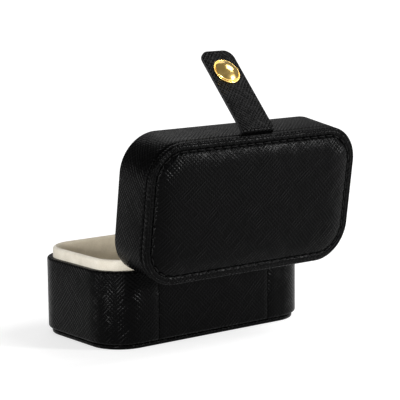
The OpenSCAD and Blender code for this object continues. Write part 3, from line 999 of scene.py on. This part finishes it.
def roll_bar(bm, low, high):
    """A straight roll with its section drawn to size, closed at both ends with shrinking rings."""
    middle = (low + high) / 2
    back_round = (high.y - low.y) / 2 * roll_back_share
    section = draw(bm, [
        (low.x, low.y, low.z, roll_foot_round),
        (low.x, low.y, high.z, back_round),
        (low.x, high.y, high.z, back_round),
        (low.x, high.y, low.z, roll_foot_round),
    ], closed=True)
    bmesh.ops.subdivide_edges(bm, edges=[g for g in section if isinstance(g, bmesh.types.BMEdge)
                                         and g.calc_length() > longest_side], cuts=side_cuts)
    carry_line(bm, bm.verts[:] + bm.edges[:], (high.x - low.x, 0, 0), roll_steps)
    tidy(bm)
    for end in (-1, 1):
        rim = [e for e in bm.edges if len(e.link_faces) == 1 and (e.verts[0].co.x - middle.x) * end > 0]
        for share in cap_rings:
            out = bmesh.ops.extrude_edge_only(bm, edges=rim)["geom"]
            rim = [g for g in out if isinstance(g, bmesh.types.BMEdge)]
            for vert in {v for e in rim for v in e.verts}:
                vert.co.y = middle.y + (vert.co.y - middle.y) * share
                vert.co.z = middle.z + (vert.co.z - middle.z) * share
        bmesh.ops.edgeloop_fill(bm, edges=rim)


def ring_roll(node, name, seed):
    """One padded roll in the space of its frame node."""
    low, high = drawn_box(node)
    middle = (low + high) / 2
    half_w = (high.y - low.y) / 2
    half_l = (high.x - low.x) / 2
    bm = bmesh.new()
    roll_bar(bm, low, high)
    for vert in bm.verts:
        co = vert.co
        along = abs(co.x - middle.x) / half_l
        to_end = max(0.0, 1 - (1 - along) * half_l / roll_end)
        up = (co.z - low.z) / (high.z - low.z)
        co.z = low.z + (co.z - low.z) * (1 - end_drop * to_end ** end_curve)
        side = (co.y - middle.y) / half_w
        draw_in = waist * math.sin(math.pi * min(1.0, up * waist_top)) + end_waist * to_end
        pucker = pucker_rise * to_end * math.sin(side * pucker_turn + seed) * up
        wave = noise.noise(Vector((co.x / wave_l + seed, co.y / wave_w, up)))
        wave *= wave_rise * ease(up, 0.2, 0.8)
        co.y = middle.y + (co.y - middle.y) * (1 - draw_in)
        co.z += min(0.0, wave - wave_keep) * ease(up, 0.3, 0.9) + min(0.0, pucker) * pucker_keep
        bulge = end_gap * (1 - min(1.0, abs(side)) ** 2) * math.sin(math.pi * min(1.0, up))
        if along > at_end:
            co.x -= math.copysign(end_gap - bulge, co.x - middle.x)
        into_tray(co)
    piece = make_piece(bm, name, [cream_suede])
    hang(piece, "base", "cream_suede", node)


for seed, node in enumerate(sorted(n for n in frame["nodes"] if n.startswith("ring_roll_"))):
    ring_roll(node, node.replace("ring", "padded"), seed)

# %% [markdown]
# The strap is two leathers glued together, with painted edges. The outer one is pared thin in
# the groove under the padded top and thickens as it turns over the wall's edge. Each is drawn as
# a side view, drawn out to the strap's width, and rounded at the tip by a bevel.

# %% The strap's two leathers
back_t = 0.6
strap_t = strap_high.z
strap_l = -strap_low.y
half_strap = strap_high.x
tip_r = 4.4
back_start = 0.8
painted_round = 0.24
tip_segments = 10
edge_tilt, side_tilt = 0.6, 0.5
root_round, fold_round, swell_round = 0.4, 1.2, 0.6
fold_y, swell_y = 0.5, 0.2
bend_end_y = -2.4
STRAP_PLAN = Matrix.Translation(fold_line) @ Matrix.Rotation(fold_angle, 4, "X")


def at_strap(y, z):
    """A point of the level strap's section, in the section of the shut lid."""
    return (STRAP_PLAN @ Vector((0, y, z))).yz


def leather_strip(name, section, replaced):
    """A strip of leather from its side view: width, rounded tip, painted and softened edges."""
    bm = bmesh.new()
    draw(bm, [(-half_strap, *point, rounding) for point, rounding in section], closed=True)
    side = bmesh.ops.contextual_create(bm, geom=bm.edges[:])["faces"]
    far = bmesh.ops.extrude_face_region(bm, geom=side)["geom"]
    bmesh.ops.translate(bm, verts=points_of(far), vec=(2 * half_strap, 0, 0))
    to_level = STRAP_PLAN.inverted()
    corners = [e for e in bm.edges if e.verts[0].co.x * e.verts[1].co.x > 0
               and all((to_level @ v.co).y < MM - strap_l for v in e.verts)]
    round_off(bm, corners, tip_r, tip_segments, "EDGES")
    bmesh.ops.recalc_face_normals(bm, faces=bm.faces)
    soften(bm, painted_round, segments=3)
    grain_across(bm)
    for face in bm.faces:
        sideways = to_level.to_3x3() @ face.normal
        near_tip = (to_level @ face.calc_center_median()).y < tip_r - strap_l
        on_edge = abs(sideways.z) < edge_tilt and (abs(sideways.x) > side_tilt or near_tip)
        face.material_index = 1 if on_edge else 0
    piece = make_piece(bm, name, [black_leather, edge_paint], LID_OPEN)
    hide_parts(*replaced)
    return piece


root_y = root_high.y
wall_y = -rear_y
groove_low = root_low.z
groove_high = root_high.z
fold_slope = math.tan(fold_angle)
inner_turn = Vector((fold_line.y - (fold_line.z - groove_low) / fold_slope, groove_low))
outer_turn = at_strap(fold_y, strap_t)
swell_start = Vector((wall_y - swell_y, groove_high))
outer_strap = leather_strip("strap_outer_leather", [
    (Vector((root_y, groove_low)), 0),
    (inner_turn, root_round),
    (at_strap(-back_start, 0), 0),
    (at_strap(-back_start, back_t), 0),
    (at_strap(-strap_l, back_t), 0),
    (at_strap(-strap_l, strap_t), 0),
    (outer_turn, fold_round),
    (swell_start, swell_round),
    (Vector((root_y, groove_high)), 0),
], ["strap_leather", "strap_root"])
inner_strap = leather_strip("strap_inner_leather", [
    (at_strap(-back_start, 0), 0),
    (at_strap(-strap_l, 0), 0),
    (at_strap(-strap_l, back_t), 0),
    (at_strap(-back_start, back_t), 0),
], ["strap_backing"])
strap_bend_start = LID_OPEN @ Vector((0, wall_y - swell_y, fold_line.z)) * MM
strap_bend_end = STRAP_FOLDED @ Vector((0, bend_end_y, back_t)) * MM
for strip in (outer_strap, inner_strap):
    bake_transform(strip, "lid", "strap", start=strap_bend_start, end=strap_bend_end)

# %% [markdown]
# The snap has a cap that is a dome with a thin rolled flange, a ring as the socket behind the
# strap, and a stud with a bead on the front wall. Each is half a section, given by radius and
# height, and spun once around.

# %% The snap
lathe_steps = 64
axis_merge = 5 * merge_within
dome_steps = 14


def turned_metal(name, points, place, arc=None):
    """A metal part spun from a section of (radius, height, rounding) points."""
    bm = bmesh.new()
    geom = draw(bm, [(radius, 0, height, rounding) for radius, height, rounding in points])
    if arc:
        start, centre_z, angle, steps = arc
        verts = [bm.verts.new((0, 0, start))]
        spin(bm, verts, angle, steps, centre=(0, 0, centre_z), axis=(0, 1, 0))
        bmesh.ops.remove_doubles(bm, verts=bm.verts, dist=axis_merge)
    spin(bm, bm.verts[:] + bm.edges[:], 2 * math.pi, lathe_steps, merge=True)
    tidy(bm)
    return make_piece(bm, name, [gilt_brass], place)


cap_r = (cap_high.x - cap_low.x) / 2
cap_h = cap_high.z - strap_t
snap_y = (cap_low.y + cap_high.y) / 2
dome_r = cap_r - 0.75
dome_foot = 0.75
dome_bow = (dome_r ** 2 + (cap_h - dome_foot) ** 2) / (2 * (cap_h - dome_foot))
cap_place = STRAP_FOLDED @ Matrix.Translation((0, snap_y, strap_t))
cap = turned_metal("snap_cap_dome", [
    (dome_r, dome_foot, 0),
    (dome_r + 0.02, 0.3, 0.12),
    (dome_r + 0.22, 0.3, 0.08),
    (dome_r + 0.42, 0.55, 0.1),
    (cap_r, 0.5, 0.2),
    (cap_r, 0.02, 0.12),
    (0, 0.02, 0),
], cap_place, (cap_h, cap_h - dome_bow, math.asin(dome_r / dome_bow), dome_steps))
hang(cap, "strap", "gold_brass", "snap_cap")

socket_r = socket_high.x
socket_h = -socket_low.z
socket_place = STRAP_FOLDED @ Matrix.Translation((0, snap_y, 0)) @ Matrix.Rotation(math.pi, 4, "X")
hole_r = 2.4
socket = turned_metal("snap_socket_ring", [
    (0, 0.12, 0),
    (hole_r, 0.12, 0.1),
    (hole_r, socket_h - 0.25, 0.15),
    (hole_r + 0.5, socket_h, 0.25),
    (hole_r + 1.0, socket_h - 0.3, 0.2),
    (socket_r - 0.9, socket_h - 0.35, 0.2),
    (socket_r - 0.45, socket_h, 0.2),
    (socket_r, socket_h - 0.3, 0.25),
    (socket_r, 0.0, 0.1),
    (0, 0.0, 0),
], socket_place)
hang(socket, "strap", "gold_brass", "snap_socket")

stud_r = stud_high.x
stud_z = (stud_low.z + stud_high.z) / 2
stud_h = stud_high.y - stud_low.y
stud_place = Matrix.Translation((0, stud_high.y, stud_z)) @ Matrix.Rotation(math.pi / 2, 4, "X")
bead_r = 2.0
stud = turned_metal("snap_stud_bead", [
    (0, stud_h, 0),
    (bead_r, stud_h, 0.55),
    (bead_r, stud_h - 0.9, 0.3),
    (bead_r - 0.45, 0.5, 0.2),
    (stud_r - 1.1, 0.5, 0.2),
    (stud_r - 0.7, 0.3, 0.15),
    (stud_r, 0.3, 0.14),
    (stud_r, 0.01, 0.05),
    (0, 0.01, 0),
], stud_place)
hang(stud, "base", "gold_brass", "snap_stud")

# %% [markdown]
# The camera stands where the photographer did: behind the hinge, a little above the box, with a
# long lens. The values were fitted to the edges that show.

# %% The camera
camera_azimuth = math.radians(142.57)
camera_elevation = math.radians(9.226)
camera_distance = 746.1
camera_roll = math.radians(-0.628)
camera_target = Vector((-15.55, 0, 54.46))
focal_px = 1646.6
frame_px = 400
sensor_mm = 36
backward = Vector((math.sin(camera_azimuth) * math.cos(camera_elevation),
                   -math.cos(camera_azimuth) * math.cos(camera_elevation),
                   math.sin(camera_elevation)))
camera = link("camera", bpy.data.cameras.new("camera"))
aim = (-backward).to_track_quat("-Z", "Y").to_matrix() @ Matrix.Rotation(camera_roll, 3, "Z")
stand = (camera_target + backward * camera_distance) * MM
camera.matrix_world = Matrix.Translation(stand) @ aim.to_4x4()
camera.data.lens = focal_px / frame_px * sensor_mm
camera.data.sensor_width = sensor_mm
camera.data.clip_start = 0.05
bpy.context.scene.camera = camera

# %% [markdown]
# A large soft box hangs above, and a weak one behind. Three small ones stand low and draw
# glints on the ridges. The floor is white to the camera and in reflections, a little less so
# near the box, and it still takes the box's shadow.

# %% Floor, room and lamps
def ray_is_seen(tree):
    """1 for rays of the camera, of gloss and of glass, and 0 for the rest."""
    path = add(tree, "ShaderNodeLightPath")
    seen = combine(tree, "MAXIMUM", path.outputs["Is Camera Ray"], path.outputs["Is Glossy Ray"])
    return combine(tree, "MAXIMUM", seen, path.outputs["Is Transmission Ray"])


floor_size = 30.0
paper_shade = (0.6, 0.6, 0.6, 1)
glow_near, glow_far = 0.62, 1.0
near_by, far_off = 0.2, 1.0
bm = bmesh.new()
bmesh.ops.create_grid(bm, x_segments=1, y_segments=1, size=floor_size / 2)
floor_mesh = bpy.data.meshes.new("floor")
bm.to_mesh(floor_mesh)
bm.free()
floor = link("floor", floor_mesh)
floor_material = bpy.data.materials.new("white_floor")
floor_material.use_nodes = True
tree = floor_material.node_tree
tree.nodes.clear()
paper = add(tree, "ShaderNodeBsdfDiffuse", {"Color": paper_shade})
away = add(tree, "ShaderNodeVectorMath", {0: own_place(tree)}, operation="LENGTH")
strength = spread(tree, away.outputs["Value"], near_by, far_off, glow_near, glow_far)
strength = combine(tree, "MULTIPLY", ray_is_seen(tree), strength)
glow = add(tree, "ShaderNodeEmission", {"Strength": strength})
both = add(tree, "ShaderNodeAddShader", {0: paper.outputs["BSDF"], 1: glow.outputs["Emission"]})
add(tree, "ShaderNodeOutputMaterial", {"Surface": both.outputs["Shader"]})
floor_mesh.materials.append(floor_material)

room_light = 0.25
world = bpy.data.worlds.new("room")
world.use_nodes = True
bpy.context.scene.world = world
tree = world.node_tree
tree.nodes.clear()
room = add(tree, "ShaderNodeBackground", {"Color": (1, 1, 1, 1), "Strength": room_light})
add(tree, "ShaderNodeOutputWorld", {"Surface": room.outputs["Background"]})

lamps = {
    "soft_box_above": ((-420, 170, 640), (0, 0, 60), 360, 2.5),
    "soft_box_by_camera": ((587, 482, 133), (0, 0, 40), 105, 3.5),
    "soft_box_at_right": ((-461, 603, 200), (0, 20, 60), 105, 4.8),
    "soft_box_behind": ((-280, -480, 560), (0, 0, 50), 400, 0.6),
    "soft_box_at_side": ((750, -60, 90), (20, 0, 45), 105, 1.5),
}
for name, (place, target, size, power) in lamps.items():
    lamp = bpy.data.lights.new(name, "AREA")
    lamp.size = size * MM
    lamp.energy = power
    holder = link(name, lamp)
    holder.visible_camera = False
    look = (Vector(target) - Vector(place)).to_track_quat("-Z", "Y")
    holder.matrix_world = Matrix.Translation(Vector(place) * MM) @ look.to_matrix().to_4x4()


bpy.context.scene.view_settings.view_transform = "Standard"
print("lamps:", len(lamps))
